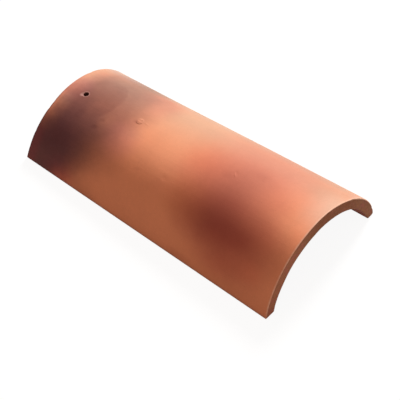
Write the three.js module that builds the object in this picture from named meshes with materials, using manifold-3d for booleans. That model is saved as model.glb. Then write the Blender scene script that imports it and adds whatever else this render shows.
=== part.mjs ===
// Curved clay roof tile (two-piece "mission" barrel tile), one piece of fired clay.
// Millimetres, +Z up. The tile lies crown up on its two long edges, on the plane z = 0.
// +X runs from the narrow head end, which is nailed, to the wide butt end, which laps
// over the head of the next tile down the slope. The origin is at the middle of the bed.
import * as THREE from "three";
import { mergeVertices } from "three/addons/utils/BufferGeometryUtils.js";
import Module from "manifold-3d";

// Driving sizes
const TILE_LENGTH = 406; // head face to butt face
const BUTT_WIDTH = 208; // over both long edges, at the wide end
const BUTT_RISE = 84; // bed to crown, at the wide end
const HEAD_WIDTH = 188; // over both long edges, at the narrow end
const HEAD_RISE = 60.5; // bed to crown, at the narrow end
const CROWN_WALL = 17.5; // wall at the top of the arch
const EDGE_WALL = 14.2; // mean width of the two long edges where they bear on the bed
const HOLLOW_SHIFT = 0.9; // the hollow sits this far towards +Y, so the -Y edge is the wider one
const EDGE_ROUNDING = 0.8; // radius along both corners of each long edge
const END_ROUNDING = 1; // radius round the rims of the two end faces
const NAIL_HOLE_DIAMETER = 7; // punched straight down through the crown
const NAIL_HOLE_SETBACK = 30.5; // hole centre from the head face
const NAIL_HOLE_OFFSET = -4.5; // hole centre from the crown line, along Y
const PUNCH_OVERRUN = 16; // how far the punch passes out of the wall at each end of the hole

// How finely the curves are faceted
const OUTER_ARC_STEPS = 44;
const INNER_ARC_STEPS = 40;
const CORNER_STEPS = 3;
const LENGTH_STEPS = 12;
const HOLE_SIDES = 24;
const MERGE_DISTANCE = 1e-4;

const wasm = await Module();
wasm.setup();

const { lerp } = THREE.MathUtils;

// Width and rise both grow evenly along the tile, so the crown and the long edges are straight.
const widthAt = (share) => lerp(HEAD_WIDTH, BUTT_WIDTH, share);
const riseAt = (share) => lerp(HEAD_RISE, BUTT_RISE, share);

// The circle over the crown and through both feet of an arch.
function archCircle(halfSpan, rise) {
  const radius = (halfSpan ** 2 + rise ** 2) / (2 * rise);
  return { radius, centreZ: rise - radius };
}

// Where a corner of the given radius sits: on the bed, and touching the arch circle
// at the given distance from that circle's centre. The angle is from +Y.
function cornerCentre(circle, corner, reach) {
  const lift = corner - circle.centreZ;
  const across = Math.sqrt(reach ** 2 - lift ** 2);
  return { across, angle: Math.atan2(lift, across) };
}

function arcPoints(y, z, radius, start, end, clockwise, steps) {
  const arc = new THREE.EllipseCurve(y, z, radius, radius, start, end, clockwise);
  return arc.getPoints(steps);
}

// The closed outline of the wall in the YZ plane, drawn in by the inset on every side.
// It runs over the outside from +Y to -Y, round one long edge, back under the arch
// and round the other edge. Every outline has the same number of points.
function wallOutline(share, inset) {
  const halfWidth = widthAt(share) / 2;
  const rise = riseAt(share);
  const outer = archCircle(halfWidth, rise);
  const inner = archCircle(halfWidth - EDGE_WALL, rise - CROWN_WALL);
  const corner = Math.max(EDGE_ROUNDING, inset);
  const outside = cornerCentre(outer, corner, outer.radius - corner);
  const inside = cornerCentre(inner, corner, inner.radius + corner);
  const bend = corner - inset;
  const nearY = HOLLOW_SHIFT - inside.across;
  const farY = HOLLOW_SHIFT + inside.across;
  const [right, left, down, fullTurn] = [0, Math.PI, 1.5 * Math.PI, 2 * Math.PI];

  const over = arcPoints(0, outer.centreZ, outer.radius - inset,
    right + outside.angle, left - outside.angle, false, OUTER_ARC_STEPS);
  const nearOuter = arcPoints(-outside.across, corner, bend,
    left - outside.angle, down, false, CORNER_STEPS);
  const nearInner = arcPoints(nearY, corner, bend,
    down, fullTurn - inside.angle, false, CORNER_STEPS);
  const under = arcPoints(HOLLOW_SHIFT, inner.centreZ, inner.radius + inset,
    left - inside.angle, right + inside.angle, true, INNER_ARC_STEPS);
  const farInner = arcPoints(farY, corner, bend,
    left + inside.angle, down, false, CORNER_STEPS);
  const farOuter = arcPoints(outside.across, corner, bend,
    down, fullTurn + outside.angle, false, CORNER_STEPS);

  const withoutLast = (points) => points.slice(0, -1);
  return [
    ...withoutLast(over),
    ...nearOuter,
    ...withoutLast(nearInner),
    ...withoutLast(under),
    ...farInner,
    ...withoutLast(farOuter),
  ];
}

// Stations along the tile: each end face, the quarter round of its rim, and the length between.
function stations() {
  const rim = [];
  for (let step = 0; step <= CORNER_STEPS; step++) {
    const turn = (step / CORNER_STEPS) * (Math.PI / 2);
    rim.push({
      depth: END_ROUNDING * (1 - Math.sin(turn)),
      inset: END_ROUNDING * (1 - Math.cos(turn)),
    });
  }
  const head = rim.map(({ depth, inset }) => ({ x: depth, inset })).reverse();
  const butt = rim.map(({ depth, inset }) => ({ x: TILE_LENGTH - depth, inset }));
  const between = [];
  const straight = TILE_LENGTH - 2 * END_ROUNDING;
  for (let step = 1; step < LENGTH_STEPS; step++) {
    between.push({ x: END_ROUNDING + (straight * step) / LENGTH_STEPS, inset: 0 });
  }
  return [...head, ...between, ...butt];
}

// A closed skin over a row of outlines that have the same number of points.
function loft(rows) {
  const count = rows[0].points.length;
  const positions = [];
  for (const { x, points } of rows) {
    for (const { x: y, y: z } of points) positions.push(x - TILE_LENGTH / 2, y, z);
  }
  const index = [];
  for (let row = 0; row + 1 < rows.length; row++) {
    for (let i = 0; i < count; i++) {
      const next = (i + 1) % count;
      const [a, b] = [row * count + i, row * count + next];
      const [c, d] = [a + count, b + count];
      index.push(a, b, d, a, d, c);
    }
  }
  const last = (rows.length - 1) * count;
  for (const [i, j, k] of THREE.ShapeUtils.triangulateShape(rows[0].points, [])) index.push(k, j, i);
  for (const [i, j, k] of THREE.ShapeUtils.triangulateShape(rows.at(-1).points, [])) {
    index.push(last + i, last + j, last + k);
  }
  const geometry = new THREE.BufferGeometry();
  geometry.setAttribute("position", new THREE.Float32BufferAttribute(positions, 3));
  geometry.setIndex(index);
  return geometry;
}

// A closed geometry as a solid, with shared vertices merged and collapsed faces left out.
function solidOf(geometry) {
  const bare = geometry.clone();
  bare.deleteAttribute("normal");
  bare.deleteAttribute("uv");
  const merged = mergeVertices(bare, MERGE_DISTANCE);
  const faces = [];
  for (let i = 0; i < merged.index.count; i += 3) {
    const [a, b, c] = merged.index.array.slice(i, i + 3);
    if (a !== b && b !== c && c !== a) faces.push(a, b, c);
  }
  const vertProperties = merged.attributes.position.array;
  const triVerts = new Uint32Array(faces);
  return new wasm.Manifold(new wasm.Mesh({ numProp: 3, vertProperties, triVerts }));
}

function geometryOf(solid) {
  const { vertProperties, triVerts } = solid.getMesh();
  const geometry = new THREE.BufferGeometry();
  geometry.setAttribute("position", new THREE.BufferAttribute(vertProperties, 3));
  geometry.setIndex(new THREE.BufferAttribute(triVerts, 1));
  geometry.computeVertexNormals();
  return geometry;
}

function archedWall() {
  const rows = stations().map(({ x, inset }) => ({ x, points: wallOutline(x / TILE_LENGTH, inset) }));
  return solidOf(loft(rows));
}

// The punch runs straight down, from above the crown to below the inside of the arch.
function nailPunch() {
  const rise = riseAt(NAIL_HOLE_SETBACK / TILE_LENGTH);
  const punchLength = CROWN_WALL + 2 * PUNCH_OVERRUN;
  const radius = NAIL_HOLE_DIAMETER / 2;
  const punch = new THREE.CylinderGeometry(radius, radius, punchLength, HOLE_SIDES);
  punch.rotateX(Math.PI / 2);
  punch.translate(NAIL_HOLE_SETBACK - TILE_LENGTH / 2, NAIL_HOLE_OFFSET, rise - CROWN_WALL / 2);
  return solidOf(punch);
}

function barrelTile() {
  const clay = new THREE.MeshStandardMaterial({ color: 0xb5704f, roughness: 0.85, metalness: 0 });
  const tile = new THREE.Mesh(geometryOf(archedWall().subtract(nailPunch())), clay);
  tile.name = "barrel_tile";
  return tile;
}

const roofTile = new THREE.Group();
roofTile.name = "clay_roof_tile";
roofTile.add(barrelTile());

export default roofTile;
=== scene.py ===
"""A flashed clay barrel tile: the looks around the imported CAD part. Metres, +Z up.

The tile lies crown up on its two long edges. +X runs from the nailed head end to the wide
butt end, and +Y is the side away from the camera.
"""
import math

import bpy
import numpy as np
from mathutils import Matrix, Vector, noise


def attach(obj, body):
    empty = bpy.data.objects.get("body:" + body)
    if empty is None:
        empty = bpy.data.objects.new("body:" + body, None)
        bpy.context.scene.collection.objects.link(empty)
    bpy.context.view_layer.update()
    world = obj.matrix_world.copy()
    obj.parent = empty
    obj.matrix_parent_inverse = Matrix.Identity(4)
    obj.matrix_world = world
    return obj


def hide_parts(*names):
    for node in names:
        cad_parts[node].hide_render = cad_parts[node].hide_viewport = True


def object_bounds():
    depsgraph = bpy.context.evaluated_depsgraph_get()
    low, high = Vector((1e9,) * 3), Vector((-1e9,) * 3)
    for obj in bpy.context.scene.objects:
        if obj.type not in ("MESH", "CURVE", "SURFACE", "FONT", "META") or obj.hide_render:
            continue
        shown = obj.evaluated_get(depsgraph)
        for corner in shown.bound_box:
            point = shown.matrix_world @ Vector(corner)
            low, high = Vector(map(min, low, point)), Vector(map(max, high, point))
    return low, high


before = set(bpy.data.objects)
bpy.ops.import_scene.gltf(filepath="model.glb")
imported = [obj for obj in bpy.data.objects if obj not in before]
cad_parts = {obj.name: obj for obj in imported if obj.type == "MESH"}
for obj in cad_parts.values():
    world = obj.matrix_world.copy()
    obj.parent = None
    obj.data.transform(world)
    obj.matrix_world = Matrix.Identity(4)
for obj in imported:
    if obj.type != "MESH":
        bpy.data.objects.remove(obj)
cad_low, cad_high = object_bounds()

# ---------------------------------------------------------------- sizes of the tile
# The same sizes as in the part's source, so that the mesh stays where its node is.
MM = 0.001
LENGTH = cad_high.x - cad_low.x
BUTT_WIDTH = 208 * MM  # over both long edges, at the wide end
BUTT_RISE = 84 * MM  # bed to crown, at the wide end
HEAD_WIDTH = 188 * MM  # over both long edges, at the narrow end
HEAD_RISE = 60.5 * MM  # bed to crown, at the narrow end
CROWN_WALL = 17.5 * MM  # wall at the top of the arch
EDGE_WALL = 14.2 * MM  # mean width of the two long edges where they bear on the bed
INSIDE_SHIFT = 0.9 * MM  # the hollow sits this far towards +Y
EDGE_ROUNDING = 0.8 * MM  # along both corners of each long edge
END_ROUNDING = 1.0 * MM  # round the rims of the two end faces
LEAST_CORNER = 0.12 * MM  # what is kept of the edges' corners where an end face is drawn in
NAIL_HOLE_RADIUS = 3.5 * MM
NAIL_HOLE_SETBACK = 30.5 * MM  # hole centre from the head face
NAIL_HOLE = Vector((NAIL_HOLE_SETBACK - LENGTH / 2, -4.5 * MM))
LIP_OUTSIDE = 0.6 * MM  # rounding of the hole's mouth on the crown
LIP_INSIDE = 0.5 * MM  # and of its mouth under the arch

# ---------------------------------------------------------------- how finely the mesh is divided
LENGTH_STEPS = 196
ARCH_STEPS = 140
CORNER_STEPS = 6
EDGE_STEPS = 6
RIM_STEPS = 4
# Rows and columns lie closer together where there are small marks to shape.
CROWN_GATHER = 0.35
MARK_REACH = 10 * MM
SAMPLES_PER_STEP = 10
# The nail hole's rings start from a patch that is left out of the mesh.
PATCH_ROWS = 10
PATCH_COLUMNS = 14
PATCH_SHARES = (0.2, 0.4, 0.58, 0.74, 0.88, 1.0)  # of the way from the patch to the hole's lip
OUTER_LIP_SHARES = (0.25, 0.5, 0.75, 1.0)  # of the quarter turn over the lip
INNER_LIP_SHARES = (1.0, 0.66, 0.33)
BORE_STEPS = 8

# ---------------------------------------------------------------- the form's unevenness
OUTER_SKIN = (3 * MM, 8 * MM)  # depths below the outer face over which its marks fade out
BED_FADE = 14 * MM  # height over which the relief fades in from the flat bed

# Swells of the wall: height and size in millimetres, seed, stretch
SWELLS = (
    (0.30, 110, 1, (1.6, 1, 1)),
    (0.10, 28, 2, (3.0, 1, 1)),
    (0.04, 7, 3, (6.0, 1, 1)),
)
INSIDE_SWELL, INSIDE_SWELL_SIZE, INSIDE_SWELL_SEED = 0.10 * MM, 12 * MM, 4
SEED_STEPS = (17.31, 5.77, 11.93)  # how far apart the noises of two seeds lie

# The far shoulder sags inwards at the head and stands proud at the butt.
SHOULDER_SAG = 1.0 * MM
SHOULDER_AROUND, SHOULDER_REACH = 95 * MM, 40 * MM
SHOULDER_SHARES = (0.2, 0.65)  # of the length, over which the sag turns round
SHOULDER_TURNED = 1.5  # how much of the sag is taken off again by the end of that
# The butt's rim is pressed down on the far haunch.
PRESS = 1.3 * MM
PRESS_AROUND, PRESS_REACH = 58 * MM, 30 * MM
PRESS_LENGTH = 16 * MM
PRESS_DEPTHS = (3 * MM, 12 * MM)
# The far foot toes in, and the wall behind it is thinner.
FOOT_TUCK = 1.7 * MM
FOOT_THINNING = 0.8 * MM
FOOT_HEIGHT = 20 * MM
FOOT_OUTER_DEPTHS = (4 * MM, 10 * MM)
FOOT_INNER_DEPTHS = (5 * MM, 10 * MM)
# The crown line is bowed, by part of a sine wave along the tile.
BOW = 0.5 * MM
BOW_HALF_WAVES = 1.3
BOW_START = 0.4  # in radians

# The end faces are worn unevenly, with nicks out of their outer rims. Each noise has a size
# and a seed, and what comes of it is in millimetres.
WEAR_REACH = 5 * MM
WEAR_SIZE, WEAR_SEED = 26 * MM, 7
WEAR_SWING, WEAR_MEAN = 0.25, -0.1
NICK_SIZE, NICK_SEED = 9 * MM, 6
NICK_FLOOR, NICK_DEPTH = 0.28, 1.6
NICK_DEPTHS = (1 * MM, 4 * MM)

# Marks of handling, in millimetres: along from the head end, and around from the crown line
NAIL_CHIP = (27.3, -6.5)
CHIP_REACH = (2.2 * MM, 1.9 * MM)
CHIP_DEPTH = 0.7 * MM
CRUMB = (122.5, -2.0)
CRUMB_HEIGHT = 0.5 * MM
CRUMB_RADII = (3.3 * MM, 5.3 * MM)  # of its flat top and of its foot
TICK_PLACE = (279.2, -3.8)
# Ridges: along, around, reach along, reach across, turn in degrees
CRUMB_TAIL = (133, -1, 7, 1.6, -12)
TICK = (*TICK_PLACE, 6, 1.8, -48)
TAIL_HEIGHT = 0.15 * MM
TICK_HEIGHT = 0.3 * MM
DENTS = (  # along, around, size, depth
    (279, -2, 3.0, 0.35),
    (78, -39, 4.0, 0.25),
    (74, 33, 5.0, 0.20),
    (46, -30, 4.5, 0.20),
    (205, -52, 3.0, 0.30),
    (330, 30, 4.0, 0.20),
    (160, 62, 3.5, 0.25),
    (240, 95, 4.0, 0.30),
    (352, -98, 3.0, 0.30),
    (118, -96, 3.5, 0.25),
)
DENT_OVAL = 0.8  # a dent's reach around, as a share of its reach along


# ---------------------------------------------------------------- small helpers
def smoothstep(low, high, value):
    share = np.clip((value - low) / (high - low), 0, 1)
    return share * share * (3 - 2 * share)


def bell(value, centre, reach):
    return np.exp(-(((value - centre) / reach) ** 2))


def noise_field(points, scale, seed, stretch=(1, 1, 1)):
    """Smooth noise from -1 to 1 at each point; a feature is about one scale long."""
    shift = Vector([seed * step for step in SEED_STEPS])
    places = points / (np.array(stretch) * scale)
    return np.array([noise.noise(Vector(place) + shift) for place in places])


def add_object(name, data):
    made = bpy.data.objects.new(name, data)
    bpy.context.scene.collection.objects.link(made)
    return made


def add_node(tree, kind, **settings):
    node = tree.nodes.new(kind)
    for name, value in settings.items():
        setattr(node, name, value)
    return node


# ---------------------------------------------------------------- the form
def width_and_rise(share):
    """Size of the tile at a share of its length from the head end."""
    width = HEAD_WIDTH + (BUTT_WIDTH - HEAD_WIDTH) * share
    return width, HEAD_RISE + (BUTT_RISE - HEAD_RISE) * share


def arch_circle(half_span, rise):
    """Radius and centre height of the circle over the crown and through both feet."""
    radius = (half_span**2 + rise**2) / (2 * rise)
    return radius, rise - radius


def outer_circle(share):
    width, rise = width_and_rise(share)
    return arch_circle(width / 2, rise)


def inner_circle(share):
    width, rise = width_and_rise(share)
    return arch_circle(width / 2 - EDGE_WALL, rise - CROWN_WALL)


def arc(centre_y, centre_z, radius, start, end, steps, gather=0.0):
    """The points of an arc after its first one, gathered about its middle by the share given."""
    even = np.linspace(0, 1, steps + 1)[1:]
    turn = start + (end - start) * (even + gather * np.sin(math.tau * even) / math.tau)
    return np.stack([centre_y + radius * np.cos(turn), centre_z + radius * np.sin(turn)], axis=1)


def corner_centre(circle, corner, reach):
    """Where a corner sits: on the bed, and at the given reach from an arch circle's centre."""
    lift = corner - circle[1]
    across = math.sqrt(reach**2 - lift**2)
    return across, math.atan2(lift, across)


def wall_outline(share, inset):
    """The closed outline of the wall, drawn in by the inset on every side.

    It runs over the outside, round the near edge, back under the arch and round the far edge.
    """
    outer, inner = outer_circle(share), inner_circle(share)
    corner = max(EDGE_ROUNDING, inset + LEAST_CORNER)
    out_y, out_turn = corner_centre(outer, corner, outer[0] - corner)
    in_y, in_turn = corner_centre(inner, corner, inner[0] + corner)
    near_y, far_y = INSIDE_SHIFT - in_y, INSIDE_SHIFT + in_y
    bend = corner - inset
    # Angles from +Y; straight down is reached from the left in one turn, from the right in another.
    left, down, down_from_right = math.pi, 1.5 * math.pi, -0.5 * math.pi
    flat = np.linspace(0, 1, EDGE_STEPS + 1)[1:, None]

    def edge(start_y, end_y):
        across = start_y + (end_y - start_y) * flat
        return np.concatenate([across, np.full_like(flat, inset)], axis=1)

    def arch(centre_y, circle, radius, start, end):
        return arc(centre_y, circle[1], radius, start, end, ARCH_STEPS, CROWN_GATHER)

    return np.concatenate([
        arch(0, outer, outer[0] - inset, out_turn, left - out_turn),
        arc(-out_y, corner, bend, left - out_turn, down, CORNER_STEPS),
        edge(-out_y, near_y),
        arc(near_y, corner, bend, down_from_right, -in_turn, CORNER_STEPS),
        arch(INSIDE_SHIFT, inner, inner[0] + inset, left - in_turn, in_turn),
        arc(far_y, corner, bend, left + in_turn, down, CORNER_STEPS),
        edge(far_y, out_y),
        arc(out_y, corner, bend, down_from_right, out_turn, CORNER_STEPS),
    ])


def stations():
    """Distance from the head face and inset of each row of the mesh."""
    turn = np.linspace(0, math.pi / 2, RIM_STEPS + 1)
    depth = END_ROUNDING * (1 - np.sin(turn))
    inset = END_ROUNDING * (1 - np.cos(turn))
    places = np.linspace(END_ROUNDING, LENGTH - END_ROUNDING, SAMPLES_PER_STEP * LENGTH_STEPS)
    marks = sum(bell(places, mark[0] * MM, MARK_REACH) for mark in (CRUMB, TICK_PLACE))
    crowding = np.cumsum(1 + marks)
    even = np.linspace(crowding[0], crowding[-1], LENGTH_STEPS + 1)[1:-1]
    between = np.interp(even, crowding, places)
    along = np.concatenate([depth[::-1], between, LENGTH - depth])
    return along, np.concatenate([inset[::-1], np.zeros_like(between), inset])


class Skin:
    """Vertices and quads of the tile, gathered piece by piece."""

    def __init__(self):
        self.points = []
        self.faces = []
        self.count = 0

    def add_points(self, points):
        first = self.count
        self.points.append(np.asarray(points, dtype=float))
        self.count += len(points)
        return first + np.arange(len(points))

    def all_points(self):
        return np.concatenate(self.points)

    def join(self, ring_a, ring_b, closed=True):
        """Quads between two rows of vertices of equal length."""
        a, b = np.asarray(ring_a), np.asarray(ring_b)
        if closed:
            a, b = np.append(a, a[0]), np.append(b, b[0])
        self.faces.append(np.stack([a[:-1], a[1:], b[1:], b[:-1]], axis=1))


def end_cap(skin, row, facing_butt):
    """Fills an end face with a grid between the two arcs and the two long edges."""
    count = len(row)
    # The grid's corners lie half way round the outline's rounded ones.
    half = CORNER_STEPS // 2
    over, across = ARCH_STEPS + 2 * half, EDGE_STEPS + 2 * half
    # The outline's first point is one step after the far end of the outer arc.
    start = -1 - half
    ring = np.array([row[(start + i) % count] for i in range(count)])
    top, near = ring[: over + 1], ring[over : over + across + 1]
    under = ring[over + across : 2 * over + across + 1][::-1]
    far = np.append(ring[2 * over + across :], ring[0])[::-1]
    points = skin.all_points()
    u = np.linspace(0, 1, over + 1)[None, :, None]
    v = np.linspace(0, 1, across + 1)[:, None, None]
    p_top, p_under, p_near, p_far = points[top], points[under], points[near], points[far]
    grid = (
        (1 - v) * p_top[None] + v * p_under[None] + (1 - u) * p_far[:, None] + u * p_near[:, None]
        - (1 - u) * (1 - v) * p_top[0] - u * (1 - v) * p_top[-1]
        - (1 - u) * v * p_under[0] - u * v * p_under[-1]
    )
    index = np.empty((across + 1, over + 1), dtype=int)
    index[0], index[-1], index[:, 0], index[:, -1] = top, under, far, near
    inside = skin.add_points(grid[1:-1, 1:-1].reshape(-1, 3))
    index[1:-1, 1:-1] = inside.reshape(across - 1, over - 1)
    for line in range(across):
        pair = (index[line], index[line + 1])
        skin.join(*(pair if facing_butt else pair[::-1]), closed=False)


def nail_hole(skin, outer_loop, inner_loop):
    """Rings from the outside of the crown, over the lip, down the bore and out under the arch."""
    points = skin.all_points()
    centre = np.array(NAIL_HOLE)

    def surface_z(circle_at, plan):
        share = (plan[:, 0] + LENGTH / 2) / LENGTH
        circles = np.array([circle_at(s) for s in share])
        across = plan[:, 1] - (INSIDE_SHIFT if circle_at is inner_circle else 0)
        return circles[:, 1] + np.sqrt(circles[:, 0] ** 2 - across**2)

    outer_start, inner_start = points[outer_loop], points[inner_loop]
    turn = np.arctan2(outer_start[:, 1] - centre[1], outer_start[:, 0] - centre[0])
    ray = np.stack([np.cos(turn), np.sin(turn)], axis=1)

    def spread(start, circle_at, rounding, share):
        lip_edge = centre + (NAIL_HOLE_RADIUS + rounding) * ray
        plan = start[:, :2] * (1 - share) + lip_edge * share
        return np.column_stack([plan, surface_z(circle_at, plan)])

    def lip(circle_at, rounding, share, sign):
        bend = share * math.pi / 2
        plan = centre + (NAIL_HOLE_RADIUS + rounding * (1 - math.sin(bend))) * ray
        edge = centre + (NAIL_HOLE_RADIUS + rounding) * ray
        drop = rounding * (1 - math.cos(bend))
        return np.column_stack([plan, surface_z(circle_at, edge) - sign * drop])

    rings = [spread(outer_start, outer_circle, LIP_OUTSIDE, s) for s in PATCH_SHARES]
    rings += [lip(outer_circle, LIP_OUTSIDE, s, 1) for s in OUTER_LIP_SHARES]
    bottom = [lip(inner_circle, LIP_INSIDE, s, -1) for s in INNER_LIP_SHARES]
    bore_top, bore_foot = rings[-1], bottom[0]
    for share in np.linspace(0, 1, BORE_STEPS + 1)[1:-1]:
        rings.append(bore_top * (1 - share) + bore_foot * share)
    rings += bottom
    rings += [spread(inner_start, inner_circle, LIP_INSIDE, s) for s in reversed(PATCH_SHARES)]
    previous = outer_loop
    for ring in rings:
        current = skin.add_points(ring)
        skin.join(previous, current)
        previous = current
    skin.join(previous, inner_loop)


def tile_skin():
    """The tile's smooth form as points and quads."""
    skin = Skin()
    along, inset = stations()
    rows = []
    for distance, draw_in in zip(along, inset):
        outline = wall_outline(distance / LENGTH, draw_in)
        x = np.full((len(outline), 1), distance - LENGTH / 2)
        rows.append(skin.add_points(np.hstack([x, outline])))
    rows = np.array(rows)
    # Outer arc column j is outline index j - 1, and the inner column under it runs the other way.
    count = rows.shape[1]
    inner_first = ARCH_STEPS + 2 * CORNER_STEPS + EDGE_STEPS - 1
    outer_columns = (np.arange(ARCH_STEPS + 1) - 1) % count
    inner_columns = inner_first + ARCH_STEPS - np.arange(ARCH_STEPS + 1)

    # The patch round the nail hole
    row_0 = int(np.argmin(abs(along - (NAIL_HOLE.x + LENGTH / 2)))) - PATCH_ROWS // 2
    across = skin.all_points()[rows[row_0][outer_columns], 1]
    column_0 = int(np.argmin(abs(across - NAIL_HOLE.y))) - PATCH_COLUMNS // 2

    def loop(columns):
        r = np.arange(PATCH_ROWS)
        c = columns[column_0 : column_0 + PATCH_COLUMNS + 1]
        block = rows[row_0 : row_0 + PATCH_ROWS + 1]
        return np.concatenate([
            block[0, c[:-1]], block[r, c[-1]], block[-1, c[:0:-1]], block[PATCH_ROWS - r, c[0]],
        ])

    quads = np.ones((len(rows) - 1, count), dtype=bool)
    open_outer = outer_columns[column_0 : column_0 + PATCH_COLUMNS]
    open_inner = inner_columns[column_0 + 1 : column_0 + PATCH_COLUMNS + 1]
    for columns in (open_outer, open_inner):
        quads[row_0 : row_0 + PATCH_ROWS, columns] = False
    following = np.roll(np.arange(count), -1)
    for i in range(len(rows) - 1):
        keep = np.nonzero(quads[i])[0]
        a, b = rows[i][keep], rows[i][following[keep]]
        c, d = rows[i + 1][following[keep]], rows[i + 1][keep]
        skin.faces.append(np.stack([a, b, c, d], axis=1))
    end_cap(skin, rows[0], facing_butt=False)
    end_cap(skin, rows[-1], facing_butt=True)
    nail_hole(skin, loop(outer_columns), loop(inner_columns))
    return skin.all_points(), np.concatenate(skin.faces)


# ---------------------------------------------------------------- the hand-made tile
def body_places(points):
    """Distance from the head end, arc length off the crown and depth below the outer face."""
    along = points[:, 0] + LENGTH / 2
    share = along / LENGTH
    radius, centre = np.array([outer_circle(s) for s in share]).T
    lift = points[:, 2] - centre
    around = np.arctan2(points[:, 1], lift) * radius
    return along, around, radius - np.hypot(points[:, 1], lift)


def ridge(along, around, place_along, place_around, reach_along, reach_across, turn):
    """1 on the crest of a small ridge and 0 off it. The turn is that of its length."""
    right, up = math.cos(math.radians(turn)), math.sin(math.radians(turn))
    x, y = along / MM - place_along, around / MM - place_around
    off = np.hypot((x * right + y * up) / reach_along, (y * right - x * up) / reach_across)
    return 1 - smoothstep(0, 1, off)


def hand_relief(points, along, around, depth):
    """How far the clay stands proud of its smooth form, from forming, drying and handling."""
    outside = 1 - smoothstep(*OUTER_SKIN, depth)
    off_bed = smoothstep(0, BED_FADE, points[:, 2])
    swell = np.zeros(len(points))
    for height, size, seed, stretch in SWELLS:
        swell += height * MM * noise_field(points, size * MM, seed, stretch)
    inside_noise = noise_field(points, INSIDE_SWELL_SIZE, INSIDE_SWELL_SEED)
    swell += INSIDE_SWELL * (1 - outside) * inside_noise

    marks = np.zeros(len(points))
    for place_along, place_around, size, deep in DENTS:
        dent = bell(along, place_along * MM, size * MM)
        dent = dent * bell(around, place_around * MM, size * DENT_OVAL * MM)
        marks -= deep * MM * dent
    # A crumb of clay was pressed flat on the crown, with a tail dragged off it. There is a
    # small tick too.
    off_crumb = np.hypot(along - CRUMB[0] * MM, around - CRUMB[1] * MM)
    marks += CRUMB_HEIGHT * (1 - smoothstep(*CRUMB_RADII, off_crumb))
    tail = TAIL_HEIGHT * ridge(along, around, *CRUMB_TAIL)
    marks += tail + TICK_HEIGHT * ridge(along, around, *TICK)
    return (swell + marks * outside) * off_bed


def rim_wear(points, along, depth):
    """How far the end faces are worn back at their rims, and where crumbs have broken out."""
    to_end = np.minimum(along, LENGTH - along)
    at_rim = 1 - smoothstep(0, WEAR_REACH, to_end)
    nicks = np.maximum(noise_field(points, NICK_SIZE, NICK_SEED) - NICK_FLOOR, 0)
    uneven = WEAR_SWING * noise_field(points, WEAR_SIZE, WEAR_SEED) + WEAR_MEAN
    outer_rim = 1 - smoothstep(*NICK_DEPTHS, depth)
    return MM * at_rim * (uneven + NICK_DEPTH * nicks * outer_rim)


def shape_by_hand(points, normals):
    """The smooth form with the unevenness of a real tile. The long edges stay flat on the bed."""
    along, around, depth = body_places(points)
    share = along / LENGTH
    height = np.clip(points[:, 2] / HEAD_RISE, 0, 1)
    far_side = points[:, 1] > 0
    moved = points + normals * hand_relief(points, along, around, depth)[:, None]
    # The clay burst a little where the punch went in, on the side towards the head end.
    chip = bell(along, NAIL_CHIP[0] * MM, CHIP_REACH[0])
    chip = chip * bell(points[:, 1], NAIL_CHIP[1] * MM, CHIP_REACH[1])
    moved[:, 2] -= CHIP_DEPTH * chip * (1 - smoothstep(*OUTER_SKIN, depth))
    # The far shoulder sagged a little towards the head as the tile dried.
    sag = SHOULDER_SAG * bell(around, SHOULDER_AROUND, SHOULDER_REACH)
    sag = sag * (1 - SHOULDER_TURNED * smoothstep(*SHOULDER_SHARES, share))
    wall_out = np.column_stack([np.zeros_like(around), points[:, 1], np.maximum(points[:, 2], 0)])
    wall_out /= np.maximum(np.linalg.norm(wall_out, axis=1), MM)[:, None]
    moved -= wall_out * (sag * height)[:, None]
    # The butt's rim was pressed down on the far haunch while the clay was wet.
    pressed = bell(around, PRESS_AROUND, PRESS_REACH)
    pressed = pressed * (1 - smoothstep(0, PRESS_LENGTH, LENGTH - along))
    moved -= wall_out * (PRESS * pressed * (1 - smoothstep(*PRESS_DEPTHS, depth)))[:, None]
    # The far foot toes in a little at the bed, and the wall behind it is thinner.
    low = 1 - smoothstep(0, FOOT_HEIGHT, points[:, 2])
    outer_far = (1 - smoothstep(*FOOT_OUTER_DEPTHS, depth)) * far_side
    moved[:, 1] -= FOOT_TUCK * low**2 * outer_far
    moved[:, 1] += FOOT_THINNING * low * far_side * smoothstep(*FOOT_INNER_DEPTHS, depth)
    moved[:, 2] += BOW * height * np.sin(share * math.pi * BOW_HALF_WAVES + BOW_START)
    moved[:, 0] -= np.sign(points[:, 0]) * rim_wear(points, along, depth)
    moved[:, 2] = np.maximum(moved[:, 2], 0)
    return moved


def tile_mesh():
    points, faces = tile_skin()
    used = np.unique(faces)
    renumber = np.full(len(points), -1)
    renumber[used] = np.arange(len(used))
    points = points[used]
    mesh = bpy.data.meshes.new("tile_body")
    mesh.from_pydata(points.tolist(), [], renumber[faces].tolist())
    mesh.update()
    normals = np.empty(points.size)
    mesh.vertex_normals.foreach_get("vector", normals)
    moved = shape_by_hand(points, normals.reshape(-1, 3))
    mesh.vertices.foreach_set("co", moved.ravel())
    mesh.polygons.foreach_set("use_smooth", np.ones(len(mesh.polygons), dtype=bool))
    mesh.update()
    return mesh


# ---------------------------------------------------------------- colours of the clay
# Colours are linear.
# Partly painted light: CLAY_SIDE deeper for the near side's shade, CLAY_FAR paler and greyer as
# sheen
CLAY_SIDE = (0.80, 0.282, 0.145)
CLAY_CROWN = (0.90, 0.35, 0.19)
CLAY_FAR = (0.63, 0.33, 0.21)
CLAY_BUTT = (0.78, 0.44, 0.30)
CLAY_INSIDE = (0.46, 0.13, 0.075)
CLAY_CUT = (0.385, 0.163, 0.082)
CLAY_CUT_DARK = (0.29, 0.102, 0.043)
CLAY_CUT_RED = (0.41, 0.145, 0.095)
CLAY_CHIP = (0.42, 0.205, 0.178)
# Partly worn clay and partly a painted highlight on the butt's rim
CLAY_WORN_AND_LIT = (0.95, 0.61, 0.46)
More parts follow.
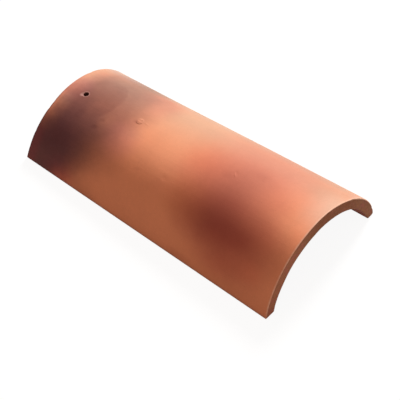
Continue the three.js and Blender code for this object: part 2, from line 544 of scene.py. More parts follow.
# These are multiplied onto the clay's own colour.
PLUM = (0.15, 0.12, 0.225)
RED_HAZE = (0.84, 0.36, 0.42)
RED_BROWN = (0.455, 0.225, 0.285)
MAUVE = (0.44, 0.26, 0.35)
SMUDGE = (0.62, 0.50, 0.52)
EMBER = (0.78, 0.63, 0.66)
RED_FOOT = (1.30, 0.98, 1.06)
DARK_RIM = (0.72, 0.68, 0.74)
# Painted shade, multiplied onto the outer face near the bed
BED_SHADE = (0.70, 0.74, 0.84)
WARM = (1.0, 0.95, 0.88)
PALE = (0.94, 1.0, 1.0)
FAR_EDGE = (0.88, 0.99, 1.05)
COOL = (0.98, 1.05, 1.17)
MIST = (0.96, 1.07, 1.10)
DULL = (0.93, 0.99, 1.0)
GLOW = (1.12, 1.01, 0.99)
BUTT_CROWN = (1.07, 1.02, 1.0)
PINK = (0.96, 0.91, 1.07)
CUT_NEAR = (1.13, 1.02, 1.03)
INSIDE_FOOT = (0.84, 0.62, 0.38)
# Painted shade, multiplied into the nail hole's bore
BORE_SHADE = (0.12, 0.10, 0.10)

# ---------------------------------------------------------------- places of the colours
# All in millimetres: along from the head end, and around from the crown line, with + on the
# far side.
# Soft spots of the fire's flash: along, around, reach along, reach around, turn in degrees,
# core as a share of the reach, strength
PLUM_SPOTS = (
    (24, -87, 84, 80, 0, 0.34, 0.98),
    (45, -40, 107, 95, 0, 0.2, 0.85),
    (92, -62, 48, 52, 0, 0.1, 0.22),
    (114, -4, 38, 40, 0, 0.1, 0.18),
    (64, 30, 96, 100, 0, 0.15, 0.54),
    (72, 90, 52, 38, 0, 0.1, 0.22),
    (26, 26, 20, 18, 0, 0.1, 0.12),
    (102, -122, 30, 26, 0, 0.1, 0.18),
    (137, -68, 26, 26, 0, 0.1, 0.10),
)
# Where the plum flash thins out
CLEARED_SPOTS = (
    (64, 2, 36, 44, 0, 0.1, 0.13),
    (86, -26, 19, 19, 0, 0.1, 0.13),
    (134, 40, 32, 42, 0, 0.1, 0.60),
    (64, -122, 24, 20, 0, 0.1, 0.09),
)
RED_HAZE_SPOTS = (
    (305, 35, 135, 112, 0, 0.1, 0.42),
    (126, 44, 36, 46, 0, 0.1, 0.32),
    (232, -15, 48, 55, 0, 0.1, 0.18),
    (24, 40, 24, 28, 0, 0.1, 0.13),
    (97, 52, 28, 36, 0, 0.1, 0.18),
    (31, 66, 24, 20, 0, 0.1, 0.12),
    (330, -112, 44, 22, 0, 0.1, 0.11),
    (374, -48, 30, 34, 0, 0.1, 0.09),
)
RED_BROWN_SPOTS = (
    (318, -72, 111, 58, -5, 0.1, 0.86),
    (362, -46, 44, 28, -28, 0.1, 0.20),
    (212, -64, 34, 18, 0, 0.1, 0.10),
    (328, -112, 70, 36, 0, 0.1, 0.31),
    (368, -114, 58, 30, 0, 0.2, 0.11),
)
MAUVE_SPOTS = (
    (292, -30, 102, 85, 0, 0.05, 0.68),
    (356, -17, 24, 20, 0, 0.1, 0.12),
)
# Where the red-brown flash thins out
BROWN_CLEARED = (320, -50, 48, 24, 0, 0.1, 0.10)
WARM_SPOTS = (
    (248, -58, 50, 44, 0, 0.1, 1.0),
    (230, 4, 40, 40, 0, 0.1, 0.5),
)
GLOW_SPOTS = (
    (110, 68, 26, 18, 0, 0.1, 0.9),
    (68, -91, 28, 18, 0, 0.1, 0.5),
    (5, -60, 12, 28, 0, 0.1, 0.5),
    (368, -100, 26, 24, 0, 0.1, 0.5),
    (14, 45, 14, 16, 0, 0.1, 0.8),
)
DULL_SPOTS = (
    (406, 28, 14, 30, 0, 0.3, 1.0),
    (130, -20, 22, 16, 0, 0.1, 0.7),
)
PINK_SPOTS = (
    (13, -2, 26, 34, 0, 0.3, 1.0),
    (116, -34, 40, 38, 0, 0.2, 1.0),
)
MIST_SPOTS = (
    (303, -10, 52, 36, 0, 0.1, 0.9),
    (384, 36, 34, 30, 0, 0.1, 0.9),
    (14, -22, 16, 18, 0, 0.1, 0.9),
)
COOL_SPOTS = (
    (18, 84, 60, 30, 0, 0.3, 1.0),
    (407, 78, 16, 22, 0, 0.3, 0.8),
)
# Faint marks of hands and of the kiln, and painted shade at the crumb's near edge
SMUDGES_AND_SHADE = (
    (45, 0, 36, 38, 0, 0.88, 0.10),
    (76, -39, 6, 6, 0, 0.2, 0.38),
    (79, -25, 6, 4, 0, 0.2, 0.38),
    (45, -33, 9, 11, 0, 0.3, 0.25),
    # Painted shade on the near side of the crumb, where it stands proud of the crown
    (118.5, -5, 6, 5.5, 0, 0.1, 0.35),
    (272, -8, 13, 10, 0, 0.2, 0.14),
    (308, 14, 16, 11, 0, 0.2, 0.14),
    (165, -58, 7, 4, 20, 0.2, 0.15),
    (265, -131, 30, 12, 0, 0.2, 0.25),
)
SMOKE = (45, 4, 38, 40, 0, 0.9, 0.31)
SPARED_CROWN = (10, -8, 45, 48, 0, 0.0, 0.48)
BUTT_SPOT = (416, 14, 52, 56, 0, 0.2)
PALE_SPOT = (182, 28, 76, 70, 0, 0.3)
BUTT_CROWN_SPOT = (400, -24, 20, 36, 0, 0.2)
EMBER_SPOT = (34, -75, 40, 34, 0, 0.1)
RED_FOOT_SPOT = (57, -113, 36, 27)
CHIP_SPOT = (*NAIL_CHIP, 5.6, 4.2, 45, 0.5)
CRUMB_SPOT = (*CRUMB, 5.0, 4.7, 0, 0.5, 0.10)
TICK_SPOT = (*TICK_PLACE, 6.5, 1.8, -48)

# How a spot's edge wanders: by how much, size of the wandering, shift of its noise
FLASH_DRIFT = (9, 42, 3)
SMUDGE_DRIFT = (3, 12, 5)
SMOKE_DRIFT = (6, 20, 7)
DRIFT_DETAIL, DRIFT_ROUGHNESS = 4, 0.62

# Fades, each from where it is 0 to where it is 1
OUTER_FACE = (7, 3)  # in depth
SIDE_TO_CROWN = (-65, -20)  # around
CROWN_TO_FAR = (-22, 50)  # around
INSIDE_FOOT_FADE = (34, 12)  # in height
SPARED_ALONG, SPARED_AROUND = (31, -2), (-84, -12)
SPARED_FAR_ALONG, SPARED_FAR_AROUND = (12, 3), (8, 34)
SMOKE_ALONG, SMOKE_AROUND = (34, 66), (-40, -5)
FAR_EDGE_AROUND, FAR_EDGE_ALONG = (58, 80), (404, 380)
RED_FOOT_ALONG, RED_FOOT_AROUND = (20, 8), (-62, -84)
BED_SHADE_HEIGHT, BED_SHADE_ALONG = (5.5, 0), (30, 70)
DARK_RIM_ALONG, DARK_RIM_AROUND = (2.4, 1.2), (-8, -36)
RUBBED_ALONG = ((7, 3), (1.2, 2.4))
RUBBED_AROUND = ((-66, -44), (-6, -18))
HAUNCH = ((5, 50), (112, 76))  # around
CUT_MIDDLE = ((-45, 0), (95, 55))  # around
CUT_NEAR_AROUND, CUT_FAR_AROUND = (-25, -70), (60, 85)
CUT_RIM_DEPTH = (3.2, 1.4)
CUT_END, CUT_DEPTH = (0.9, 0.2), (0.6, 1.2)
CUT_FAR_FOOT_END, CUT_FAR_FOOT_AROUND = (2.2, 1.2), (88, 102)
WORN_AND_LIT_END, WORN_AND_LIT_DEPTH = (2.2, 1.0), (1.4, 0.7)
WORN_AND_LIT_FULLY_AROUND, WORN_AND_LIT_LESS_AROUND = (50, 66), ((18, 40), (68, 54))
WORN_AND_LIT_HEIGHT, WORN_AND_LIT_ALONG = (2, 12), (150, 250)
LIP_OFF_BORE, LIP_DEPTH = (5.6, 4.3), (1.2, 0.6)
CHIP_FADE = (2.5, 1.5)  # in depth
BORE_SHADE_OFF_BORE, BORE_SHADE_DEPTH = (3.8, 3.5), (0.45, 1.0)
CRUMB_TOP = (5.2, 3.8)  # off the crumb's middle

# ---------------------------------------------------------------- strengths and textures
SPARED_FAR = 0.22
PLUM_MOTTLE = 0.3
RUBBED_GLOW = 0.15
# The rim's wear and its painted highlight both reach this much further down on the far haunch
HAUNCH_WEAR_AND_HIGHLIGHT = 1.35  # mm that the rim's wear goes deeper on the far haunch
CUT_DARKENED = 0.9  # how much darker clay there is in the cut's middle
CUT_RED_LESS = 0.6  # and how much less of the red clay
CUT_RED_FROM = (-0.05, 0.2)  # where the cloud of red clay begins and is full
CUT_LEVEL, CUT_RIM_SHADE, CUT_FAR_SHADE = 1.04, 0.16, 0.09
WORN_AND_LIT_MEAN, WORN_AND_LIT_FULLY, WORN_AND_LIT_LESS, WORN_AND_LIT_AT_BED = 0.80, 0.4, 0.35, 0.3
WORN_AND_LIT_PALE = 0.6
LIP_PALE = 0.85
GRAIN_PALE, PIT_DARK = 0.07, 0.10
ROUGHNESS, PLUM_SMOOTHER = 0.72, 0.10
SPECULAR = 0.2
# Clouds: size, detail and strength
OWN_CLOUDS = ((34, 3, 0.12), (5, 4, 0.07))
SPARED_CLOUD = (14, 3, 1.1)
SPARED_MEAN = 0.62
CUT_SPECKLE = (2.4, 3, 0.7)
WORN_AND_LIT_CLOUD = (5, 3, 1.5)
ROUGH_CLOUD = (8, 3, 0.12)
# Clouds used as they are: size, detail, stretch, shift
CUT_RED_CLOUD = (9, 3)
PLUM_STREAKS = (9, 3, (1.5, 1, 1), 4)
DRAG_LINES = (3.5, 3, (25, 1, 1))
SAND, CUT_ROUGH, CRUMB_ROUGH = (0.9, 3), (1.7, 4), (2.6, 1)
# Grains: spacing, share of the cells that hold one, reach, shift
PALE_GRAINS = (2.1, 0.30, 0.72)
PITS = (2.7, 0.17, 0.66, 5)
GRAIN_CORE = 0.4  # flat part of a grain, as a share of its reach
# Heights of the fine relief, in millimetres of bump
SAND_BUMP, DRAG_BUMP, GRAIN_BUMP, PIT_BUMP, CUT_BUMP = 0.10, 0.12, 0.03, 0.12, 0.3
CRUMB_BUMP, CRUMB_ROUGH_BUMP, TAIL_BUMP, TICK_BUMP = 0.6, 1.6, 0.15, 0.4
BUMP_STRENGTH = 0.6

# Sockets of a Mix node that mixes colours
MIX_SHARE, MIX_UNDER, MIX_OVER, MIX_RESULT = 0, 6, 7, 2


class Term:
    """A number in a node tree. Sums and products of terms add Math nodes, as a formula would."""

    def __init__(self, tree, socket):
        self.tree, self.socket = tree, socket

    def math(self, operation, *others, clamp=False):
        node = add_node(self.tree, "ShaderNodeMath", operation=operation, use_clamp=clamp)
        for slot, value in zip(node.inputs, (self, *others)):
            if isinstance(value, Term):
                self.tree.links.new(value.socket, slot)
            else:
                slot.default_value = value
        return Term(self.tree, node.outputs[0])

    def __add__(self, other):
        return self.math("ADD", other)

    def __sub__(self, other):
        return self.math("SUBTRACT", other)

    def __mul__(self, other):
        return self.math("MULTIPLY", other)

    __radd__, __rmul__ = __add__, __mul__

    def __rsub__(self, other):
        return (self * -1) + other

    def clamped(self):
        """The number kept between 0 and 1."""
        return self.math("ADD", 0, clamp=True)

    def rise(self, start, end):
        """0 at the start and before it, 1 at the end and after it, smooth between.

        The start may be the greater of the two.
        """
        node = add_node(self.tree, "ShaderNodeMapRange", interpolation_type="SMOOTHSTEP")
        self.tree.links.new(self.socket, node.inputs["Value"])
        ends = (start, end) if start < end else (end, start)
        node.inputs["From Min"].default_value, node.inputs["From Max"].default_value = ends
        node.inputs["To Min"].default_value = 0 if start < end else 1
        node.inputs["To Max"].default_value = 1 if start < end else 0
        return Term(self.tree, node.outputs["Result"])


class Pattern:
    """Builds colours and heights over the tile's own coordinates in a material's node tree.

    As terms in millimetres it holds the distances along the tile, across it, around it and
    from its nearer end, the height above the bed and the depth below the outer face. The
    chart is the flat map of the outside, along by around, and the flame is the chart with
    its places pushed about. Outside is 1 on the outer face and 0 elsewhere.
    """

    def __init__(self, tree):
        self.tree = tree
        place = tree.nodes.new("ShaderNodeTexCoord").outputs["Object"]
        self.place = self.scaled(place, 1 / MM)
        split = tree.nodes.new("ShaderNodeSeparateXYZ")
        tree.links.new(self.place, split.inputs[0])
        x, self.across, self.height = (Term(tree, socket) for socket in split.outputs)
        self.along = x + LENGTH / 2 / MM
        head, butt = outer_circle(0), outer_circle(1)
        share = self.along * (MM / LENGTH)
        radius = share * ((butt[0] - head[0]) / MM) + head[0] / MM
        lift = self.height - (share * ((butt[1] - head[1]) / MM) + head[1] / MM)
        self.around = self.across.math("ARCTAN2", lift) * radius
        squares = self.across * self.across + lift * lift
        self.depth = radius - squares.math("SQRT")
        self.from_end = x.math("ABSOLUTE") * -1 + LENGTH / 2 / MM
        join = tree.nodes.new("ShaderNodeCombineXYZ")
        tree.links.new(self.along.socket, join.inputs[0])
        tree.links.new(self.around.socket, join.inputs[1])
        self.chart = join.outputs[0]
        self.flame = self.drifted(*FLASH_DRIFT)
        self.outside = self.depth.rise(*OUTER_FACE)

    def scaled(self, socket, factor):
        """A vector or colour times a number, which is plain or a term."""
        node = add_node(self.tree, "ShaderNodeVectorMath", operation="SCALE")
        self.tree.links.new(socket, node.inputs[0])
        if isinstance(factor, Term):
            self.tree.links.new(factor.socket, node.inputs["Scale"])
        else:
            node.inputs["Scale"].default_value = factor
        return node.outputs[0]

    def mapped(self, socket, stretch, shift, turn=0):
        """The place measured from the shift and in units of the stretch.

        A pattern laid over it is that much longer each way.
        """
        node = add_node(self.tree, "ShaderNodeMapping", vector_type="TEXTURE")
        node.inputs["Location"].default_value = shift
        node.inputs["Rotation"].default_value = (0, 0, math.radians(turn))
        node.inputs["Scale"].default_value = stretch
        self.tree.links.new(socket, node.inputs["Vector"])
        return node.outputs[0]

    def noise_node(self, place, detail):
        node = add_node(self.tree, "ShaderNodeTexNoise")
        self.tree.links.new(place, node.inputs["Vector"])
        node.inputs["Scale"].default_value = 1
        node.inputs["Detail"].default_value = detail
        return node

    def cloud(self, size, detail, stretch=(1, 1, 1), shift=0, chart=False):
        """Soft noise about 0, from -0.5 to 0.5. A feature is about size millimetres across."""
        reach = tuple(size * s for s in stretch)
        place = self.mapped(self.chart if chart else self.place, reach, (shift,) * 3)
        return Term(self.tree, self.noise_node(place, detail).outputs["Fac"]) - 0.5

    def cloudy(self, mean, *clouds):
        """The mean, varied by clouds: size, detail and strength of each."""
        total = mean
        for size, detail, strength in clouds:
            total = total + self.cloud(size, detail) * strength
        return total

    def grains(self, spacing, share, reach, shift=0):
        """Small round grains of the given reach, in that share of the cells of the spacing."""
        node = add_node(self.tree, "ShaderNodeTexVoronoi")
        place = self.mapped(self.place, (spacing,) * 3, (shift,) * 3)
        self.tree.links.new(place, node.inputs["Vector"])
        node.inputs["Scale"].default_value = 1
        split = self.tree.nodes.new("ShaderNodeSeparateXYZ")
        self.tree.links.new(node.outputs["Color"], split.inputs[0])
        chosen = Term(self.tree, split.outputs[0]).math("LESS_THAN", share)
        grain = Term(self.tree, node.outputs["Distance"])
        return grain.rise(reach / spacing, GRAIN_CORE * reach / spacing) * chosen

    def off(self, u, a):
        """Distance from a place on the outside."""
        across, down = self.along - u, self.around - a
        return (across * across + down * down).math("SQRT")

    def drifted(self, amount, size, shift):
        """The chart with its places pushed about, so that a spot's edge wanders."""
        place = self.mapped(self.chart, (size,) * 3, (shift,) * 3)
        wander = self.noise_node(place, DRIFT_DETAIL)
        wander.inputs["Roughness"].default_value = DRIFT_ROUGHNESS
        centred = add_node(self.tree, "ShaderNodeVectorMath", operation="MULTIPLY_ADD")
        self.tree.links.new(wander.outputs["Color"], centred.inputs[0])
        centred.inputs[1].default_value = (2 * amount, 2 * amount, 0)
        centred.inputs[2].default_value = (-amount, -amount, 0)
        total = add_node(self.tree, "ShaderNodeVectorMath")
        self.tree.links.new(centred.outputs[0], total.inputs[0])
        self.tree.links.new(self.chart, total.inputs[1])
        return total.outputs[0]

    def spot(self, chart, u, a, reach_u, reach_a, turn=0, core=0.0, strength=1.0):
        """A soft oval spot: its strength within the core, falling to 0 at the reach."""
        ball = add_node(self.tree, "ShaderNodeTexGradient", gradient_type="SPHERICAL")
        place = self.mapped(chart, (reach_u, reach_a, 1), (u, a, 0), turn)
        self.tree.links.new(place, ball.inputs["Vector"])
        return Term(self.tree, ball.outputs["Fac"]).rise(0, 1 - core) * strength

    def spots(self, chart, rows):
        """Spots laid over each other: together never more than 1."""
        clear = None
        for row in rows:
            left = 1 - self.spot(chart, *row)
            clear = left if clear is None else clear * left
        return 1 - clear

    def mix(self, under, over, share, blend="MIX"):
        node = add_node(self.tree, "ShaderNodeMix", data_type="RGBA", blend_type=blend)
        if isinstance(share, Term):
            self.tree.links.new(share.socket, node.inputs[MIX_SHARE])
        else:
            node.inputs[MIX_SHARE].default_value = share
        for slot, value in ((MIX_UNDER, under), (MIX_OVER, over)):
            if isinstance(value, tuple):
                node.inputs[slot].default_value = (*value, 1)
            else:
                self.tree.links.new(value, node.inputs[slot])
        return node.outputs[MIX_RESULT]

    def tinted(self, colour, tint, share):
        """The colour multiplied by the tint, as far as the share says."""
        return self.mix(colour, self.mix(colour, tint, 1.0, "MULTIPLY"), share)


def own_colour(on):
    """The clay where no flame has touched it."""
    # Partly painted light: deeper on the near side, in shade, paler and greyer on the far side as
    # sheen
    own = on.mix(CLAY_SIDE, CLAY_CROWN, on.around.rise(*SIDE_TO_CROWN))
    own = on.mix(own, CLAY_FAR, on.around.rise(*CROWN_TO_FAR))
    own = on.mix(own, CLAY_BUTT, on.spot(on.chart, *BUTT_SPOT))
    inside = on.tinted(CLAY_INSIDE, INSIDE_FOOT, on.height.rise(*INSIDE_FOOT_FADE))
    own = on.mix(inside, own, on.outside)
    return on.scaled(own, on.cloudy(1, *OWN_CLOUDS))


def plum_flash(on):
    """How far the plum flash at the head end covers the clay."""
    # The flame came round the head end, so its very rim kept some of the clay's own colour.
    spared = on.along.rise(*SPARED_ALONG) * on.around.rise(*SPARED_AROUND)
    spared = spared * on.cloudy(SPARED_MEAN, SPARED_CLOUD)
    spared = spared * (1 - on.spot(on.chart, *SPARED_CROWN))
    far_rim = on.along.rise(*SPARED_FAR_ALONG) * on.around.rise(*SPARED_FAR_AROUND)
    spared = (spared + far_rim * SPARED_FAR).clamped()
    plum = on.spots(on.flame, PLUM_SPOTS) * on.outside
    return plum * (1 - spared) * (1 - on.spots(on.flame, CLEARED_SPOTS))


def flashed(on, clay, plum):
    """The clay under fire's flash, kiln smoke, faint hand marks and painted shade by the crumb."""
    brown = on.spots(on.flame, RED_BROWN_SPOTS) * on.outside
    brown = brown * (1 - on.spot(on.flame, *BROWN_CLEARED))
    # The smoke settled round the nail hole, and stops at an edge on the side of the butt.
    smoke = on.spot(on.drifted(*SMOKE_DRIFT), *SMOKE)
    smoke = smoke * on.along.rise(*SMOKE_ALONG) * on.around.rise(*SMOKE_AROUND)
    smudge_and_shade = on.spots(on.drifted(*SMUDGE_DRIFT), SMUDGES_AND_SHADE)
    far_edge = on.around.rise(*FAR_EDGE_AROUND) * on.along.rise(*FAR_EDGE_ALONG)
    for tint, share in (
        (RED_HAZE, on.spots(on.flame, RED_HAZE_SPOTS) * on.outside),
        (MAUVE, on.spots(on.flame, MAUVE_SPOTS) * on.outside),
        (RED_BROWN, brown),
        (PLUM, plum),
        # The smudges include the painted shade by the crumb
        (SMUDGE, smudge_and_shade * on.outside),
        (SMUDGE, smoke * on.outside),
        (PALE, on.spot(on.flame, *PALE_SPOT) * on.outside),
        (WARM, on.spots(on.flame, WARM_SPOTS) * on.outside),
        (GLOW, on.spots(on.flame, GLOW_SPOTS) * on.outside),
        (FAR_EDGE, far_edge * on.outside),
        (PINK, on.spots(on.flame, PINK_SPOTS) * on.outside),
        (COOL, on.spots(on.chart, COOL_SPOTS) * on.outside),
        (MIST, on.spots(on.flame, MIST_SPOTS) * on.outside),
        (DULL, on.spots(on.chart, DULL_SPOTS) * on.outside),
        (BUTT_CROWN, on.spot(on.chart, *BUTT_CROWN_SPOT) * on.outside),
    ):
        clay = on.tinted(clay, tint, share)
    streaks = on.cloud(*PLUM_STREAKS, chart=True) * plum
    return on.scaled(clay, 1 + streaks * PLUM_MOTTLE)


def rimmed(on, clay):
    """The clay with its rims' colours from fire and hands, and painted shade at the bed."""
    clay = on.tinted(clay, EMBER, on.spot(on.flame, *EMBER_SPOT) * on.outside)
    foot = on.along.rise(*RED_FOOT_ALONG) * on.around.rise(*RED_FOOT_AROUND)
    foot = foot.math("MAXIMUM", on.spot(on.flame, *RED_FOOT_SPOT))
    clay = on.tinted(clay, RED_FOOT, foot * on.outside)
    # Painted shade: the outer face darker towards the bed, away from the head end
    bed_shade = on.height.rise(*BED_SHADE_HEIGHT) * on.along.rise(*BED_SHADE_ALONG)
    clay = on.tinted(clay, BED_SHADE, bed_shade * on.outside)
    dark_rim = on.along.rise(*DARK_RIM_ALONG) * on.around.rise(*DARK_RIM_AROUND)
    clay = on.tinted(clay, DARK_RIM, dark_rim * on.outside)
    rubbed = on.along.rise(*RUBBED_ALONG[0]) * on.along.rise(*RUBBED_ALONG[1])
    rubbed = rubbed * on.around.rise(*RUBBED_AROUND[0]) * on.around.rise(*RUBBED_AROUND[1])
    return on.scaled(clay, 1 + rubbed * on.outside * RUBBED_GLOW)


def with_ends(on, clay, own):
    """The clay with its end faces, which were cut through the wet clay, and where they are.

    Handling has worn the flash off the outer rim of the butt, deepest on the far haunch. The rim
    is also painted pale as a highlight, reaching down the end face on the far haunch.
    """
    below = on.depth - on.around.rise(*HAUNCH[0]) * on.around.rise(*HAUNCH[1]) * HAUNCH_WEAR_AND_HIGHLIGHT
    middle = on.around.rise(*CUT_MIDDLE[0]) * on.around.rise(*CUT_MIDDLE[1])
    cut_clay = on.mix(CLAY_CUT, CLAY_CUT_DARK, middle * CUT_DARKENED)
    red = on.cloud(*CUT_RED_CLOUD).rise(*CUT_RED_FROM) * (1 - middle * CUT_RED_LESS)
    cut_clay = on.mix(cut_clay, CLAY_CUT_RED, red)
    cut_clay = on.tinted(cut_clay, CUT_NEAR, on.around.rise(*CUT_NEAR_AROUND))
    level = on.cloudy(CUT_LEVEL, CUT_SPECKLE)
    level = level - below.rise(*CUT_RIM_DEPTH) * CUT_RIM_SHADE
    level = level - on.around.rise(*CUT_FAR_AROUND) * CUT_FAR_SHADE
    cut = on.from_end.rise(*CUT_END) * below.rise(*CUT_DEPTH)
    far_foot = on.from_end.rise(*CUT_FAR_FOOT_END) * on.around.rise(*CUT_FAR_FOOT_AROUND)
    cut = cut.math("MAXIMUM", far_foot)
    clay = on.mix(clay, on.scaled(cut_clay, level), cut)

    # The pale rim is partly wear and partly painted highlight, down the end face on the far haunch
    patchy = on.cloudy(WORN_AND_LIT_MEAN, WORN_AND_LIT_CLOUD) + on.around.rise(*WORN_AND_LIT_FULLY_AROUND) * WORN_AND_LIT_FULLY
    worn = on.from_end.rise(*WORN_AND_LIT_END) * below.rise(*WORN_AND_LIT_DEPTH) * patchy.clamped()
    worn = worn * (WORN_AND_LIT_AT_BED + on.height.rise(*WORN_AND_LIT_HEIGHT) * (1 - WORN_AND_LIT_AT_BED))
    less = on.around.rise(*WORN_AND_LIT_LESS_AROUND[0]) * on.around.rise(*WORN_AND_LIT_LESS_AROUND[1])
    worn = worn * on.along.rise(*WORN_AND_LIT_ALONG) * (1 - less * WORN_AND_LIT_LESS)
    return on.mix(clay, on.mix(own, CLAY_WORN_AND_LIT, WORN_AND_LIT_PALE), worn), cut


def with_marks(on, clay):
    """The nail hole's pale chipped lip, painted shade in its bore, and the crumb's colour."""
    off_x, off_y = on.along - NAIL_HOLE_SETBACK / MM, on.across - NAIL_HOLE.y / MM
    off_bore = (off_x * off_x + off_y * off_y).math("SQRT")
    chip = on.spot(on.chart, *CHIP_SPOT) * on.depth.rise(*CHIP_FADE)
    lip = off_bore.rise(*LIP_OFF_BORE) * on.depth.rise(*LIP_DEPTH) * LIP_PALE
    clay = on.mix(clay, CLAY_CHIP, chip.math("MAXIMUM", lip))
    # Painted shade darkens the bore of the nail hole
    clay = on.tinted(clay, BORE_SHADE, off_bore.rise(*BORE_SHADE_OFF_BORE) * on.depth.rise(*BORE_SHADE_DEPTH))
    return on.scaled(clay, 1 + on.spot(on.chart, *CRUMB_SPOT))


def fine_relief(on, cut, pale_grains, pits):
    """Height of what is too fine for the mesh: sand, drag lines, grains, the cut and marks."""
    height = on.cloud(*SAND) * SAND_BUMP + on.cloud(*DRAG_LINES, chart=True) * DRAG_BUMP
    height = height + pale_grains * GRAIN_BUMP - pits * PIT_BUMP
    height = height + cut * on.cloud(*CUT_ROUGH) * CUT_BUMP
    crumb = on.cloud(*CRUMB_ROUGH) * CRUMB_ROUGH_BUMP + CRUMB_BUMP
    crumb = on.off(*CRUMB).rise(*CRUMB_TOP) * crumb
    tail = on.spot(on.chart, *CRUMB_TAIL) * TAIL_BUMP
    tick = on.spot(on.chart, *TICK_SPOT) * TICK_BUMP
    return height + (crumb + tail + tick) * on.outside


def clay_material():
    material = bpy.data.materials.new("fired_clay")
    material.use_nodes = True
    tree = material.node_tree
    shader = tree.nodes["Principled BSDF"]
    on = Pattern(tree)

    own = own_colour(on)
    plum = plum_flash(on)
    clay = rimmed(on, flashed(on, own, plum))
    clay, cut = with_ends(on, clay, own)
    clay = with_marks(on, clay)
    # Sand and crushed brick in the clay: pale grains, and pits where grains have dropped out.
    pale_grains = on.grains(*PALE_GRAINS)
    pits = on.grains(*PITS)
    # The pits are painted darker, as painted shade in them
    clay = on.scaled(clay, 1 + pale_grains * GRAIN_PALE - pits * PIT_DARK)

    tree.links.new(clay, shader.inputs["Base Color"])
    rough = on.cloudy(ROUGHNESS - plum * PLUM_SMOOTHER, ROUGH_CLOUD)
    tree.links.new(rough.socket, shader.inputs["Roughness"])
    shader.inputs["Specular IOR Level"].default_value = SPECULAR
    bump = tree.nodes.new("ShaderNodeBump")
    bump.inputs["Strength"].default_value = BUMP_STRENGTH
    bump.inputs["Distance"].default_value = MM
    tree.links.new(fine_relief(on, cut, pale_grains, pits).socket, bump.inputs["Height"])
    tree.links.new(bump.outputs[0], shader.inputs["Normal"])
    return material


# ---------------------------------------------------------------- floor, light and camera
FLOOR_SIZE = 8.0
FLOOR_COLOUR = (0.5, 0.46, 0.42)  # what the floor throws back at the tile
FLOOR_GLOW = 0.92  # what the camera sees of the floor, with the light on a darker one
FLOOR_SHADED = (0.11, 0.11, 0.11)
BACKGROUND = (1, 1, 1)  # what the camera sees past the floor
# The key light stands over the far side, tilted from the vertical and leaning to the head end.
KEY_TILT = math.radians(52)
KEY_LEAN = -0.15
KEY_DISTANCE = 3.0
KEY_SIZE = 0.8
KEY_POWER = 100.0
FILL_LIGHT = (0.42, 0.335, 0.28)  # colour and strength of the world's light

CAMERA_TARGET = Vector((0.0404, -0.0306, 0.030))
CAMERA_DISTANCE = 1.789
CAMERA_AZIMUTH = math.radians(45.05)
CAMERA_ELEVATION = math.radians(48.19)
CAMERA_ROLL = math.radians(-5.28)
CAMERA_LENS = 132.65
CAMERA_SENSOR = 36


def seen(tree):
    """1 for what the camera sees, straight or in gloss and glass, and 0 for other light."""
    path = tree.nodes.new("ShaderNodeLightPath")
    total = path.outputs["Is Camera Ray"]
    for kind in ("Is Glossy Ray", "Is Transmission Ray"):
        both = add_node(tree, "ShaderNodeMath", operation="ADD", use_clamp=True)
        tree.links.new(total, both.inputs[0])
        tree.links.new(path.outputs[kind], both.inputs[1])
        total = both.outputs[0]
    return total


def floor_material():
    """A pale floor that the camera sees as white, with the tile's shadow kept."""
    material = bpy.data.materials.new("studio_floor")
    material.use_nodes = True
    tree = material.node_tree
    tree.nodes.clear()
    output = add_node(tree, "ShaderNodeOutputMaterial")
    plain = add_node(tree, "ShaderNodeBsdfDiffuse")
    shaded = add_node(tree, "ShaderNodeBsdfDiffuse")
    glow = add_node(tree, "ShaderNodeEmission")
    both = add_node(tree, "ShaderNodeAddShader")
    mix = add_node(tree, "ShaderNodeMixShader")
    plain.inputs["Color"].default_value = (*FLOOR_COLOUR, 1)
    shaded.inputs["Color"].default_value = (*FLOOR_SHADED, 1)
    glow.inputs["Strength"].default_value = FLOOR_GLOW
    link = tree.links.new
    link(glow.outputs[0], both.inputs[0])
    link(shaded.outputs[0], both.inputs[1])
    link(seen(tree), mix.inputs["Fac"])
    link(plain.outputs[0], mix.inputs[1])
    link(both.outputs[0], mix.inputs[2])
    link(mix.outputs[0], output.inputs["Surface"])
    return material


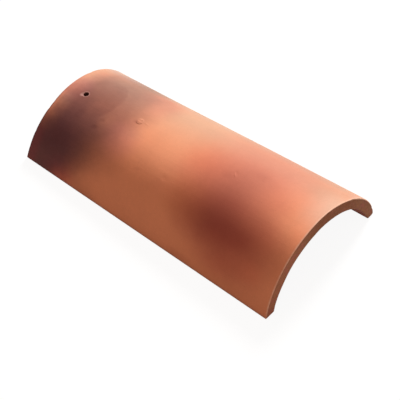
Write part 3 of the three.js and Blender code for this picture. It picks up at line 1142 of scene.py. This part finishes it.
def make_floor():
    half = FLOOR_SIZE / 2
    mesh = bpy.data.meshes.new("studio_floor")
    corners = [(-half, -half, 0), (half, -half, 0), (half, half, 0), (-half, half, 0)]
    mesh.from_pydata(corners, [], [(0, 1, 2, 3)])
    mesh.materials.append(floor_material())
    floor = add_object("studio_floor", mesh)


def make_world():
    world = bpy.data.worlds.new("studio")
    world.use_nodes = True
    bpy.context.scene.world = world
    tree = world.node_tree
    shade = add_node(tree, "ShaderNodeMix", data_type="RGBA")
    shade.inputs[MIX_UNDER].default_value = (*FILL_LIGHT, 1)
    shade.inputs[MIX_OVER].default_value = (*BACKGROUND, 1)
    tree.links.new(seen(tree), shade.inputs[MIX_SHARE])
    tree.links.new(shade.outputs[MIX_RESULT], tree.nodes["Background"].inputs["Color"])


def make_key_light():
    data = bpy.data.lights.new("key", "AREA")
    data.shape = "DISK"
    data.size = KEY_SIZE
    data.energy = KEY_POWER
    key = add_object("key", data)
    towards = Vector((KEY_LEAN, math.sin(KEY_TILT), math.cos(KEY_TILT))).normalized()
    key.location = towards * KEY_DISTANCE
    key.rotation_euler = towards.to_track_quat("Z", "Y").to_euler()


def make_camera():
    data = bpy.data.cameras.new("camera")
    data.lens = CAMERA_LENS
    data.sensor_width = CAMERA_SENSOR
    camera = add_object("camera", data)
    flat = math.cos(CAMERA_ELEVATION)
    right, away = math.sin(CAMERA_AZIMUTH) * flat, math.cos(CAMERA_AZIMUTH) * flat
    back = Vector((right, -away, math.sin(CAMERA_ELEVATION)))
    aim = (-back).to_track_quat("-Z", "Y").to_matrix() @ Matrix.Rotation(CAMERA_ROLL, 3, "Z")
    camera.matrix_world = Matrix.Translation(CAMERA_TARGET + back * CAMERA_DISTANCE) @ aim.to_4x4()
    bpy.context.scene.camera = camera


bpy.context.scene.view_settings.view_transform = "Standard"
tile = add_object("barrel_tile_clay", tile_mesh())
tile.data.materials.append(clay_material())
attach(tile, "root")
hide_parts("barrel_tile")
make_floor()
make_world()
make_key_light()
make_camera()
